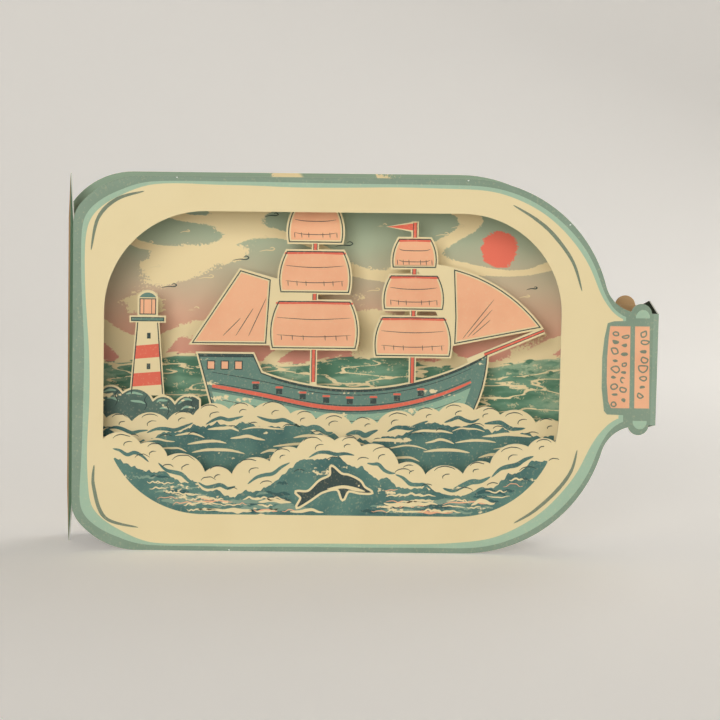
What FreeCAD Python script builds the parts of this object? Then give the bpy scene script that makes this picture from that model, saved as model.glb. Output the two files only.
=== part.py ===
import FreeCAD, Part
import math
import os
import Sketcher

# A die-cut layered greeting card in the shape of a corked bottle that lies on its side.
# Three sheets of card make it: the front sheet with its window and its folded side gussets,
# the ship layer that is glued into the gussets half way back, and the plain back panel.
# Lengths are in millimetres. X runs from the bottle's base to its cork, Y runs from the
# front panel to the back one, Z is up, and the origin is the middle of the footprint.

document = FreeCAD.newDocument("BottleCard")
sizes = document.addObject("Spreadsheet::Sheet", "Sizes")

driving_sizes = [
    # The sheets and how far apart they stand
    ("card_length", 180.0, "front panel, from its left fold to its right fold"),
    ("card_height", 116.0, "bottle body, and the gussets at their middle fold"),
    ("board_thickness", 0.4, "printed card"),
    ("gusset_depth", 15.0, "one half of a gusset, from a fold to the middle fold"),
    ("middle_splay", 1.5, "how far the left gusset's middle fold leans out"),
    ("back_splay", 2.6, "how far the left gusset's back fold leans out"),
    # Outline of the bottle
    ("corner_rise", 14.7, "how far a left corner reaches down the fold"),
    ("corner_run", 20.5, "how far a left corner reaches along the top"),
    ("corner_radius", 9.5, "tight end of a left corner"),
    ("shoulder_reach", 58.8, "from the right fold back to where the shoulder starts"),
    ("shoulder_radius", 44.0, "round shoulder"),
    ("neck_radius", 11.0, "hollow curve from shoulder to neck"),
    ("throat_inset", 8.4, "from the right fold back to the throat"),
    ("throat_height", 35.8, "across the throat"),
    ("lip_radius", 3.2, "lobe of the bottle's lip"),
    ("strip_width", 2.1, "straight strip past the lip"),
    ("strip_height", 34.6, "right fold of the front panel"),
    ("right_flare", 2.7, "how far the right gusset flares out at its middle fold"),
    # Window in the front panel
    ("window_left", 9.6, "frame left of the window"),
    ("window_right", 29.8, "frame right of the window"),
    ("window_top", 10.6, "frame above the window"),
    ("window_bottom", 11.5, "frame below the window's corners"),
    ("window_radius", 31.0, "corner of the window"),
    # Sea that is left standing along the window's foot
    ("sea_level", 29.5, "mean height of its cut edge, above the card's foot"),
    ("sea_swell", 5.5, "rise and fall of that edge"),
    ("sea_end_inset", 0.9, "right end of the edge, in from the window's right side"),
    # Glue flaps
    ("back_flap", 7.0, "flap of a gusset, glued inside the back panel"),
    ("ship_tab", 8.0, "tab of the ship layer, glued inside a gusset"),
    ("left_tab_foot", 9.5, "foot of the left tab, above the card's foot"),
    ("left_tab_top", 39.5, "top of the left tab, above the card's foot"),
    ("right_tab_foot", -15.0, "foot of the right tab, from the bottle's axis"),
    ("right_tab_top", -2.0, "top of the right tab, from the bottle's axis"),
    # Ship layer, with heights above the card's foot
    ("layer_foot", 6.5, "foot of the ship layer"),
    ("layer_gap", 3.0, "room between the ship layer and the bottle's outline"),
    ("surf_level", 40.5, "mean height of the surf"),
    ("surf_swell", 2.4, "rise and fall of the surf"),
    ("headland_height", 46.5, "mean height of the rocks"),
    ("headland_swell", 2.0, "rise and fall of the rocks"),
    ("headland_end", 41.0, "how far the rocks reach in from the left end"),
    ("tower_place", 24.0, "middle of the lighthouse, from the left end"),
    ("tower_foot_width", 11.0, "lighthouse at its foot"),
    ("tower_neck_width", 7.4, "lighthouse under its gallery"),
    ("tower_neck", 69.5, "underside of the gallery"),
    ("gallery_width", 11.4, "gallery"),
    ("gallery_height", 2.2, "gallery"),
    ("lantern_width", 6.4, "lantern room"),
    ("lantern_height", 6.0, "lantern room"),
    ("hull_stern", -52.0, "stern, from the middle of the card"),
    ("hull_bow", 40.0, "bow, from the middle of the card"),
    ("stern_height", 60.5, "rail at the stern"),
    ("waist_height", 54.5, "rail where the sheer starts, ahead of the poop"),
    ("bow_height", 61.5, "rail at the bow"),
    ("hull_foot", 27.5, "hidden foot of the hull"),
    ("sprit_reach", 17.0, "bowsprit ahead of the bow"),
    ("spar_width", 2.2, "mast or bowsprit with its cut border"),
    ("deck_drop", 6.0, "where the masts start, below the waist rail and behind the hull"),
    ("main_mast", -15.0, "main mast, from the middle of the card"),
    ("main_mast_drop", 3.5, "its top, below the card's top and so behind the frame"),
    ("fore_mast", 16.0, "fore mast, from the middle of the card"),
    ("fore_mast_drop", 14.0, "its top, below the card's top"),
    ("main_sail_width", 27.0, "lowest sail of the main mast, at its foot"),
    ("fore_sail_width", 24.0, "lowest sail of the fore mast, at its foot"),
    ("sail_step", 4.8, "how much narrower each sail is than the one below"),
    ("sail_taper", 4.0, "how much narrower a sail's head is than its foot"),
    ("jib_rise", 1.5, "foot of the jib, above the rail at the bow"),
    ("gaff_shift", 5.0, "peak of the aftmost sail, aft of the middle of its foot"),
    ("pennant_length", 9.0, "flag at the fore mast's top"),
    ("pennant_height", 3.4, "flag at the fore mast's top"),
]
for row, (alias, number, note) in enumerate(driving_sizes, start=1):
    sizes.set(f"A{row}", alias)
    sizes.set(f"B{row}", str(number))
    sizes.set(f"C{row}", note)
    sizes.setAlias(f"B{row}", alias)
document.recompute()

half_length = "Sizes.card_length / 2"
half_height = "Sizes.card_height / 2"
half_fold = "(Sizes.card_height / 2 - Sizes.corner_rise)"
half_strip = "Sizes.strip_height / 2"
board = "Sizes.board_thickness"
left_fold = "-Sizes.card_length / 2"
back_fold = "(-Sizes.card_length / 2 - Sizes.back_splay)"
middle_fold = "(-Sizes.card_length / 2 - Sizes.middle_splay)"


def above_foot(size):
    return f"({size} - Sizes.card_height / 2)"


def number_of(expression):
    return float(sizes.evalExpression(expression))


def new_body(label):
    # Each body is drawn about the bottle's axis and then lifted and centred.
    body = document.addObject("PartDesign::Body", label)
    body.Label = label
    body.setExpression("Placement.Base.x", "Sizes.back_splay / 2")
    body.setExpression("Placement.Base.z", half_height)
    return body


def new_sketch(body, name, role, offset="0"):
    plane = next(item for item in body.Origin.OriginFeatures if item.Role == role)
    sketch = body.newObject("Sketcher::SketchObject", name)
    sketch.AttachmentSupport = [(plane, "")]
    sketch.MapMode = "FlatFace"
    sketch.setExpression("AttachmentOffset.Base.z", offset)
    return sketch


def bind(sketch, kind, *about, to):
    index = sketch.addConstraint(Sketcher.Constraint(kind, *about, number_of(to)))
    sketch.setExpression(f"Constraints[{index}]", to)


def pin(sketch, edge, end, across, up):
    for kind, axis, place in (("DistanceX", -2, across), ("DistanceY", -1, up)):
        if place == "0":
            sketch.addConstraint(Sketcher.Constraint("PointOnObject", edge, end, axis))
        else:
            bind(sketch, kind, -1, 1, edge, end, to=place)


def add_line(sketch, start, finish):
    return sketch.addGeometry(Part.LineSegment(FreeCAD.Vector(*start), FreeCAD.Vector(*finish)))


def add_arc(sketch, centre, radius, start, finish):
    # The arc runs anticlockwise from start to finish.
    circle = Part.Circle(FreeCAD.Vector(*centre), FreeCAD.Vector(0, 0, 1), radius)
    angles = [math.atan2(point[1] - centre[1], point[0] - centre[0]) for point in (start, finish)]
    if angles[1] < angles[0]:
        angles[1] += 2 * math.pi
    return sketch.addGeometry(Part.ArcOfCircle(circle, *angles))


def draw_closed(sketch, corners):
    # A corner is its two places and, where the edge that leaves it is an arc, the arc's
    # radius and the side of the chord that it swells to, seen along the outline.
    places = [(number_of(across), number_of(up)) for across, up, *_ in corners]
    edges = []
    for index, (across, up, *bend) in enumerate(corners):
        start = places[index]
        finish = places[(index + 1) % len(places)]
        if not bend:
            edges.append((add_line(sketch, start, finish), 1, 2))
            continue
        radius = number_of(bend[0])
        chord = math.dist(start, finish)
        along = ((finish[0] - start[0]) / chord, (finish[1] - start[1]) / chord)
        reach = math.sqrt(radius ** 2 - (chord / 2) ** 2) * (1 if bend[1] == "right" else -1)
        centre = ((start[0] + finish[0]) / 2 - along[1] * reach,
                  (start[1] + finish[1]) / 2 + along[0] * reach)
        if bend[1] == "right":
            edges.append((add_arc(sketch, centre, radius, start, finish), 1, 2))
        else:
            edges.append((add_arc(sketch, centre, radius, finish, start), 2, 1))
        bind(sketch, "Radius", edges[-1][0], to=bend[0])
    for index, (edge, start, _) in enumerate(edges):
        previous = edges[index - 1]
        sketch.addConstraint(Sketcher.Constraint("Coincident", previous[0], previous[2], edge, start))
        pin(sketch, edge, start, corners[index][0], corners[index][1])


def pad(body, sketch, length, symmetric=False):
    feature = body.newObject("PartDesign::Pad", sketch.Name + "Pad")
    feature.Profile = sketch
    feature.SideType = "Symmetric" if symmetric else "One side"
    feature.setExpression("Length", length)
    sketch.Visibility = False
    return feature


def pocket(body, sketch, length, reversed_cut=False):
    feature = body.newObject("PartDesign::Pocket", sketch.Name + "Pocket")
    feature.Profile = sketch
    feature.Reversed = reversed_cut
    feature.setExpression("Length", length)
    sketch.Visibility = False
    return feature


def draw_half_bottle(sketch, left):
    # Upper half of the bottle: fold, two-radius corner, flat top, round shoulder, hollow
    # neck, lip lobe and the strip that ends at the right fold. Neighbours that flow into
    # each other are held tangent.
    west = number_of(left)
    east = number_of(half_length)
    top = number_of(half_height)
    fold_top = number_of(half_fold)
    strip_top = number_of(half_strip)
    run = number_of("Sizes.corner_run")
    tight = number_of("Sizes.corner_radius")
    rise = top - fold_top
    wide = ((run - tight) ** 2 + rise ** 2 - tight ** 2) / (2 * (rise - tight))
    tight_centre = (west + tight, fold_top)
    wide_centre = (west + run, top - wide)
    lean = math.atan2(tight_centre[1] - wide_centre[1], tight_centre[0] - wide_centre[0])
    corner_join = (wide_centre[0] + wide * math.cos(lean), wide_centre[1] + wide * math.sin(lean))

    shoulder = number_of("Sizes.shoulder_radius")
    neck = number_of("Sizes.neck_radius")
    shoulder_centre = (east - number_of("Sizes.shoulder_reach"), top - shoulder)
    throat = (east - number_of("Sizes.throat_inset"), number_of("Sizes.throat_height") / 2)
    span = math.dist(shoulder_centre, throat)
    swing = math.acos((span ** 2 + (shoulder + neck) ** 2 - neck ** 2)
                      / (2 * span * (shoulder + neck)))
    bearing = swing + math.atan2(throat[1] - shoulder_centre[1], throat[0] - shoulder_centre[0])
    neck_centre = (shoulder_centre[0] + (shoulder + neck) * math.cos(bearing),
                   shoulder_centre[1] + (shoulder + neck) * math.sin(bearing))
    neck_join = (shoulder_centre[0] + shoulder * math.cos(bearing),
                 shoulder_centre[1] + shoulder * math.sin(bearing))

    lip = number_of("Sizes.lip_radius")
    lip_end = (east - number_of("Sizes.strip_width"), strip_top)
    chord = math.dist(throat, lip_end)
    drop = math.sqrt(max(lip ** 2 - (chord / 2) ** 2, 0))
    lip_centre = ((throat[0] + lip_end[0]) / 2 + (lip_end[1] - throat[1]) / chord * drop,
                  (throat[1] + lip_end[1]) / 2 - (lip_end[0] - throat[0]) / chord * drop)

    fold = add_line(sketch, (west, 0), (west, fold_top))
    tight_arc = add_arc(sketch, tight_centre, tight, corner_join, (west, fold_top))
    wide_arc = add_arc(sketch, wide_centre, wide, (west + run, top), corner_join)
    roof = add_line(sketch, (west + run, top), (shoulder_centre[0], top))
    shoulder_arc = add_arc(sketch, shoulder_centre, shoulder, neck_join, (shoulder_centre[0], top))
    neck_arc = add_arc(sketch, neck_centre, neck, neck_join, throat)
    lip_arc = add_arc(sketch, lip_centre, lip, lip_end, throat)
    strip = add_line(sketch, lip_end, (east, strip_top))
    end = add_line(sketch, (east, strip_top), (east, 0))
    axis = add_line(sketch, (east, 0), (west, 0))

    for first, first_end, second, second_end in ((fold, 2, tight_arc, 2), (tight_arc, 1, wide_arc, 2),
                                                 (wide_arc, 1, roof, 1), (roof, 2, shoulder_arc, 2),
                                                 (shoulder_arc, 1, neck_arc, 1)):
        sketch.addConstraint(Sketcher.Constraint("Tangent", first, first_end, second, second_end))
    for first, first_end, second, second_end in ((neck_arc, 2, lip_arc, 2), (lip_arc, 1, strip, 1),
                                                 (strip, 2, end, 1), (end, 2, axis, 1),
                                                 (axis, 2, fold, 1)):
        sketch.addConstraint(Sketcher.Constraint("Coincident", first, first_end, second, second_end))
    pin(sketch, fold, 1, left, "0")
    pin(sketch, fold, 2, left, half_fold)
    pin(sketch, roof, 1, f"{left} + Sizes.corner_run", half_height)
    pin(sketch, roof, 2, f"{half_length} - Sizes.shoulder_reach", half_height)
    pin(sketch, neck_arc, 2, f"{half_length} - Sizes.throat_inset", "Sizes.throat_height / 2")
    pin(sketch, strip, 1, f"{half_length} - Sizes.strip_width", half_strip)
    pin(sketch, end, 1, half_length, half_strip)
    pin(sketch, end, 2, half_length, "0")
    bind(sketch, "Radius", tight_arc, to="Sizes.corner_radius")
    bind(sketch, "Radius", shoulder_arc, to="Sizes.shoulder_radius")
    bind(sketch, "Radius", neck_arc, to="Sizes.neck_radius")
    bind(sketch, "Radius", lip_arc, to="Sizes.lip_radius")


def add_bottle_panel(body, left, offset):
    # A whole bottle panel: its upper half, mirrored about the bottle's axis.
    sketch = new_sketch(body, body.Label + "Outline", "XZ_Plane", offset)
    draw_half_bottle(sketch, left)
    half = pad(body, sketch, board)
    document.recompute()
    mirrored = body.newObject("PartDesign::Mirrored", body.Label + "Whole")
    mirrored.Originals = [half]
    plane = next(item for item in body.Origin.OriginFeatures if item.Role == "XY_Plane")
    mirrored.MirrorPlane = (plane, [""])
    body.Tip = mirrored
    document.recompute()


# Cut edges of foam and rock: lumps in the edge, waves of its swell, and the angle in
# degrees at which the first wave starts
sea_run = {"lumps": 14, "waves": 2.05, "phase": -15}
surf_run = {"lumps": 16, "waves": 2.3, "phase": 60}
rock_run = {"lumps": 5, "waves": 0.8, "phase": -60}
cusp_shift = 0.17       # every second cusp moves on by this share of a lump
lump_radius = 0.64      # arc of a lump, as a share of its chord


def lumpy_edge(run, west, east, level, swell, last=None):
    # Foam along a swell, from west to east: arcs that meet in cusps, a wide one and a
    # narrow one by turns.
    points = []
    for step in range(run["lumps"] + 1):
        share = (step + (cusp_shift if step % 2 else 0)) / run["lumps"]
        angle = run["phase"] + 360 * run["waves"] * share
        across = f"({west} + ({east} - {west}) * {share:.5f})"
        points.append((across, f"({level} + {swell} * cos({angle:.2f}))"))
    points[-1] = (east, last or points[-1][1])
    arcs = []
    for start, finish in zip(points, points[1:]):
        chord = f"sqrt(({finish[0]} - {start[0]})^2 + ({finish[1]} - {start[1]})^2)"
        arcs.append((*start, f"{chord} * {lump_radius}", "left"))
    return arcs + [points[-1]]


# Front sheet: panel, window, and the gussets that fold back from its two ends
front = new_body("front_sheet")
add_bottle_panel(front, left_fold, "Sizes.gusset_depth - Sizes.board_thickness")

window = new_sketch(front, "Window", "XZ_Plane", "Sizes.gusset_depth")
west = f"({left_fold} + Sizes.window_left)"
east = f"({half_length} - Sizes.window_right)"
head = f"({half_height} - Sizes.window_top)"
corner = "Sizes.window_radius"
foot_centre = f"(Sizes.window_bottom + {corner} - {half_height})"
sea_end = f"({east} - Sizes.sea_end_inset)"
sea_end_height = f"({foot_centre} - sqrt({corner}^2 - ({corner} - Sizes.sea_end_inset)^2))"
sea_edge = lumpy_edge(sea_run, west, sea_end, above_foot("Sizes.sea_level"), "Sizes.sea_swell",
                      sea_end_height)
draw_closed(window, sea_edge[:-1] + [
    (sea_end, sea_end_height, corner, "right"),
    (east, foot_centre),
    (east, f"{head} - {corner}", corner, "right"),
    (f"{east} - {corner}", head),
    (f"{west} + {corner}", head, corner, "right"),
    (west, f"{head} - {corner}")])
pocket(front, window, "2 * Sizes.board_thickness")
document.recompute()

# Left gusset in plan: front half, rear half and the flap inside the back panel
left_plan = new_sketch(front, "LeftGusset", "XY_Plane")
panel_rear = "(Sizes.board_thickness - Sizes.gusset_depth)"
flap_back = "(Sizes.gusset_depth - Sizes.board_thickness)"
flap_front = "(Sizes.gusset_depth - 2 * Sizes.board_thickness)"
draw_closed(left_plan, [
    (left_fold, panel_rear),
    (f"{left_fold} + {board}", panel_rear),
    (f"{middle_fold} + {board}", "0"),
    (f"{back_fold} + {board}", flap_front),
    (f"{back_fold} + Sizes.back_flap", flap_front),
    (f"{back_fold} + Sizes.back_flap", flap_back),
    (back_fold, flap_back),
    (middle_fold, "0")])
pad(front, left_plan, "Sizes.card_height", symmetric=True)


def draw_flare(sketch, fold_rise, middle_rise):
    # What is cut off above and below a gusset, so that its ends flare to the middle fold.
    clear = f"({middle_rise} + Sizes.gusset_depth)"
    for side in ("", "-"):
        draw_closed(sketch, [
            (panel_rear, f"{side}({fold_rise})"),
            ("0", f"{side}({middle_rise})"),
            (flap_front, f"{side}({fold_rise})"),
            ("Sizes.gusset_depth", f"{side}({fold_rise})"),
            ("Sizes.gusset_depth", f"{side}({clear})"),
            (panel_rear, f"{side}({clear})")])


left_flare = new_sketch(front, "LeftFlare", "YZ_Plane", f"{back_fold} - {board}")
draw_flare(left_flare, half_fold, half_height)
pocket(front, left_flare, "Sizes.back_splay + Sizes.back_flap + 2 * Sizes.board_thickness",
       reversed_cut=True)

right_plan = new_sketch(front, "RightGusset", "XY_Plane")
draw_closed(right_plan, [
    (half_length, panel_rear),
    (half_length, flap_back),
    (f"{half_length} - Sizes.back_flap", flap_back),
    (f"{half_length} - Sizes.back_flap", flap_front),
    (f"{half_length} - {board}", flap_front),
    (f"{half_length} - {board}", panel_rear)])
pad(front, right_plan, "Sizes.strip_height + 2 * Sizes.right_flare", symmetric=True)
right_flare = new_sketch(front, "RightFlare", "YZ_Plane", f"{half_length} + {board}")
draw_flare(right_flare, half_strip, f"{half_strip} + Sizes.right_flare")
pocket(front, right_flare, "Sizes.back_flap + 2 * Sizes.board_thickness")

# Back panel: the same bottle, longer by the splay of the left gusset
back = new_body("back_panel")
add_bottle_panel(back, back_fold, "-Sizes.gusset_depth")

# Ship layer: surf, headland, lighthouse, hull, spars and sails in one die-cut sheet
ship = new_body("ship_layer")
layer_face = "-Sizes.board_thickness / 2"


def add_layer_shape(name, corners):
    sketch = new_sketch(ship, name, "XZ_Plane", layer_face)
    draw_closed(sketch, corners)
    pad(ship, sketch, board)


tab_inner = f"({half_length} - {board})"
layer_west = f"({middle_fold} + {board})"
layer_foot = above_foot("Sizes.layer_foot")
shoulder_x = f"({half_length} - Sizes.shoulder_reach)"
shoulder_z = f"(Sizes.shoulder_radius - {half_height})"
inner_radius = "(Sizes.shoulder_radius - Sizes.layer_gap)"
surf_end = f"({east} + Sizes.layer_gap)"
surf_level = above_foot("Sizes.surf_level")
surf_end_foot = f"({shoulder_z} - sqrt({inner_radius}^2 - ({surf_end} - {shoulder_x})^2))"

# Surf from gusset to frame, and the arm that carries it on to the right gusset
surf = lumpy_edge(surf_run, layer_west, surf_end, surf_level, "Sizes.surf_swell")
add_layer_shape("Surf", surf + [
    (surf_end, surf_end_foot, inner_radius, "right"),
    (shoulder_x, f"{shoulder_z} - {inner_radius}"),
    (shoulder_x, layer_foot),
    (f"{layer_west} + Sizes.corner_run", layer_foot),
    (layer_west, above_foot("Sizes.left_tab_foot"))])
arm_start = f"({surf_end} - 3 * Sizes.layer_gap)"
arm_bend = f"({half_length} - 2 * Sizes.throat_inset)"
arm_root = f"({surf_level} - Sizes.surf_swell)"
add_layer_shape("Arm", [
    (arm_start, f"{arm_root} - 3 * Sizes.layer_gap"),
    (arm_start, arm_root),
    (surf_end, arm_root),
    (arm_bend, "Sizes.right_tab_top"),
    (tab_inner, "Sizes.right_tab_top"),
    (tab_inner, "Sizes.right_tab_foot"),
    (arm_bend, "Sizes.right_tab_foot"),
    (surf_end, f"{arm_root} - 3 * Sizes.layer_gap")])


def add_spar(name, foot, tip):
    # A mast or bowsprit is a straight strip between two points.
    across = f"({tip[0]} - {foot[0]})"
    up = f"({tip[1]} - {foot[1]})"
    span = f"sqrt({across}^2 + {up}^2)"
    aside = f"(Sizes.spar_width / 2 * {up} / {span})"
    above = f"(Sizes.spar_width / 2 * {across} / {span})"
    add_layer_shape(name, [
        (f"{foot[0]} - {aside}", f"{foot[1]} + {above}"),
        (f"{tip[0]} - {aside}", f"{tip[1]} + {above}"),
        (f"{tip[0]} + {aside}", f"{tip[1]} - {above}"),
        (f"{foot[0]} + {aside}", f"{foot[1]} - {above}")])


# Foot and head of each square sail, as shares of the way from the deck to the mast's top
sail_shares = ((0.2, 0.45), (0.475, 0.695), (0.72, 0.91))
sail_belly = 1.3        # arc of a sail's side, as a share of the sail's height


def add_square_rig(name, mast, mast_top, lowest_width):
    # A mast and its three square sails. Each has a straight head and foot and sides that
    # belly out.
    add_spar(name + "Mast", (mast, deck), (mast, mast_top))
    for number, (foot_share, head_share) in enumerate(sail_shares):
        foot = f"({deck} + ({mast_top} - {deck}) * {foot_share})"
        head_height = f"({deck} + ({mast_top} - {deck}) * {head_share})"
        half_foot = f"({lowest_width} - {number} * Sizes.sail_step) / 2"
        half_head = f"({lowest_width} - {number} * Sizes.sail_step - Sizes.sail_taper) / 2"
        belly = f"(({head_height} - {foot}) * {sail_belly})"
        add_layer_shape(f"{name}Sail{number + 1}", [
            (f"{mast} - {half_foot}", foot, belly, "left"),
            (f"{mast} - {half_head}", head_height),
            (f"{mast} + {half_head}", head_height, belly, "left"),
            (f"{mast} + {half_foot}", foot)])


# Rocks and lighthouse at the left
tower = f"({layer_west} + Sizes.tower_place)"
rocks_end = f"({layer_west} + Sizes.headland_end)"
rocks_foot = f"({surf_level} - 2 * Sizes.surf_swell)"
rocks_top = above_foot("Sizes.headland_height")
tower_neck = above_foot("Sizes.tower_neck")
gallery_top = f"({tower_neck} + Sizes.gallery_height)"
lantern_top = f"({gallery_top} + Sizes.lantern_height)"
rocks = lumpy_edge(rock_run, layer_west, rocks_end, rocks_top, "Sizes.headland_swell")
add_layer_shape("Headland", rocks + [(rocks_end, rocks_foot), (layer_west, rocks_foot)])
add_layer_shape("Tower", [
    (f"{tower} - Sizes.tower_foot_width / 2", rocks_top),
    (f"{tower} - Sizes.tower_neck_width / 2", tower_neck),
    (f"{tower} + Sizes.tower_neck_width / 2", tower_neck),
    (f"{tower} + Sizes.tower_foot_width / 2", rocks_top)])
add_layer_shape("Gallery", [
    (f"{tower} - Sizes.gallery_width / 2", tower_neck),
    (f"{tower} - Sizes.gallery_width / 2", gallery_top),
    (f"{tower} + Sizes.gallery_width / 2", gallery_top),
    (f"{tower} + Sizes.gallery_width / 2", tower_neck)])
add_layer_shape("Lantern", [
    (f"{tower} - Sizes.lantern_width / 2", gallery_top),
    (f"{tower} - Sizes.lantern_width / 2", lantern_top, "Sizes.lantern_width * 0.55", "left"),
    (f"{tower} + Sizes.lantern_width / 2", lantern_top),
    (f"{tower} + Sizes.lantern_width / 2", gallery_top)])

# Ship under sail, heading right
main = "Sizes.main_mast"
fore = "Sizes.fore_mast"
main_top = f"({half_height} - Sizes.main_mast_drop)"
fore_top = f"({half_height} - Sizes.fore_mast_drop)"
stern_rail = above_foot("Sizes.stern_height")
waist_rail = above_foot("Sizes.waist_height")
deck = f"({waist_rail} - Sizes.deck_drop)"
bow_rail = above_foot("Sizes.bow_height")
keel = above_foot("Sizes.hull_foot")
hull_length = "(Sizes.hull_bow - Sizes.hull_stern)"
add_layer_shape("Hull", [
    ("Sizes.hull_stern", stern_rail),
    (f"Sizes.hull_stern + {hull_length} * 0.2", stern_rail),
    (f"Sizes.hull_stern + {hull_length} * 0.23", waist_rail, f"{hull_length} * 0.9", "right"),
    ("Sizes.hull_bow", bow_rail, f"{hull_length} * 0.5", "left"),
    (f"Sizes.hull_bow - {hull_length} * 0.16", keel),
    (f"Sizes.hull_stern + {hull_length} * 0.1", keel)])
add_square_rig("Main", main, main_top, "Sizes.main_sail_width")
add_square_rig("Fore", fore, fore_top, "Sizes.fore_sail_width")
sprit_root = ("(Sizes.hull_bow - 3 * Sizes.spar_width)", f"({bow_rail} - 1.5 * Sizes.spar_width)")
sprit = ("(Sizes.hull_bow + Sizes.sprit_reach)", f"({bow_rail} + Sizes.sprit_reach * 0.4)")
add_spar("Bowsprit", sprit_root, sprit)
jib_head = f"({deck} + ({fore_top} - {deck}) * 0.76)"
jib_tack = f"({sprit[1]} + Sizes.spar_width / 4)"
jib_foot = f"({bow_rail} + Sizes.jib_rise)"
jib_luff = f"(sqrt(({sprit[0]} - {fore})^2 + ({jib_head} - {jib_tack})^2) * 1.1)"
add_layer_shape("Jib", [
    (f"({fore} + Sizes.fore_sail_width / 2)", jib_foot),
    (fore, jib_head, jib_luff, "left"),
    (sprit[0], jib_tack)])
spanker_head = f"({deck} + ({main_top} - {deck}) * 0.6)"
spanker_throat = f"({deck} + ({main_top} - {deck}) * 0.5)"
spanker_foot = f"({stern_rail} + Sizes.spar_width)"
add_layer_shape("Spanker", [
    ("Sizes.hull_stern - Sizes.spar_width", spanker_foot),
    (f"({main} + Sizes.hull_stern) / 2 - Sizes.gaff_shift", spanker_head),
    (main, spanker_throat),
    (main, spanker_foot)])
add_layer_shape("Pennant", [
    (fore, f"{fore_top} - Sizes.pennant_height"),
    (fore, fore_top),
    (f"{fore} - Sizes.pennant_length", f"{fore_top} - Sizes.pennant_height / 2")])

# The layer's two end tabs fold back and are glued inside the gussets
left_tab = new_sketch(ship, "LeftTab", "XY_Plane", above_foot("Sizes.left_tab_foot"))
lean = "(Sizes.back_splay - Sizes.middle_splay) / Sizes.gusset_depth"
tab_back = f"{layer_west} - Sizes.ship_tab * {lean}"
draw_closed(left_tab, [
    (layer_west, "0"),
    (f"{layer_west} + {board}", "0"),
    (f"{tab_back} + {board}", "Sizes.ship_tab"),
    (tab_back, "Sizes.ship_tab")])
pad(ship, left_tab, "Sizes.left_tab_top - Sizes.left_tab_foot")
right_tab = new_sketch(ship, "RightTab", "XY_Plane", "Sizes.right_tab_foot")
draw_closed(right_tab, [
    (f"{tab_inner} - {board}", "0"),
    (tab_inner, "0"),
    (tab_inner, "Sizes.ship_tab"),
    (f"{tab_inner} - {board}", "Sizes.ship_tab")])
pad(ship, right_tab, "Sizes.right_tab_top - Sizes.right_tab_foot")

document.recompute()
for item in document.Objects:
    if "Invalid" in item.State or "Error" in item.State:
        raise RuntimeError(f"{item.Label} did not build")
os.makedirs("parts", exist_ok=True)
for body in (front, back, ship):
    shape = body.Shape
    if shape.isNull() or not shape.isValid() or len(shape.Solids) != 1:
        raise RuntimeError(f"{body.Label} is not one sound solid")
for body in (front, back, ship):
    body.Shape.exportStep(f"parts/{body.Label}.step")
    box = body.Shape.BoundBox
    print(body.Label, round(body.Shape.Volume, 1), "mm3, X", round(box.XMin, 2), round(box.XMax, 2),
          "Y", round(box.YMin, 2), round(box.YMax, 2), "Z", round(box.ZMin, 2), round(box.ZMax, 2))
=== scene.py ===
import bpy
import random
from functools import partial
from math import acos, asin, atan2, cos, dist, exp, pi, radians, sin, sqrt, tau
from mathutils import Matrix, Vector, noise


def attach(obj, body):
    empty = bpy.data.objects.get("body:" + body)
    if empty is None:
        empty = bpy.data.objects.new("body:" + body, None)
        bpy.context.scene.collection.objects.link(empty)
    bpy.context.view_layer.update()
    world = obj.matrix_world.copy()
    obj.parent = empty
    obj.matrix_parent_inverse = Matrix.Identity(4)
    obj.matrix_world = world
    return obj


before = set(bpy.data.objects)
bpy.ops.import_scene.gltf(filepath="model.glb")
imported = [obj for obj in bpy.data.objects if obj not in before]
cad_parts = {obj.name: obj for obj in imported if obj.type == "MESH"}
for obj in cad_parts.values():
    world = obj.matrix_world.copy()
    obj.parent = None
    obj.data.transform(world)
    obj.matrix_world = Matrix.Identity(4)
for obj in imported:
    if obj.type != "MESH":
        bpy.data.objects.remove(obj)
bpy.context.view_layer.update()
print("frame loaded:", sorted(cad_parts))

mm = 0.001

# How the card's sheets lie in the frame. Drawings are in millimetres: x from the middle of
# the front panel, z from the bottle's axis.
card = {
    "middle": 1.3,          # front panel's middle along X
    "axis": 58.0,           # bottle's axis above the table
    # Printed side of each sheet, by its slot
    "faces": {"front_card": -15.0, "ship_card": -0.2, "back_card": 14.6},
    "inkStep": 0.03,        # one layer of ink above the next
    "inkHalf": 0.007,       # half the thickness of a patch of ink
    "inkShuffle": 0.005,    # patches of one ink lie this far apart, so that none share a face
    "inkTurns": 4,
}


def ink(red, green, blue):
    # Colour as seen on the card, 0 to 255, made linear for the shaders.
    values = []
    for value in (red, green, blue):
        share = value / 255
        values.append(share / 12.92 if share <= 0.04045 else ((share + 0.055) / 1.055) ** 2.4)
    return (*values, 1.0)


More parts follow.
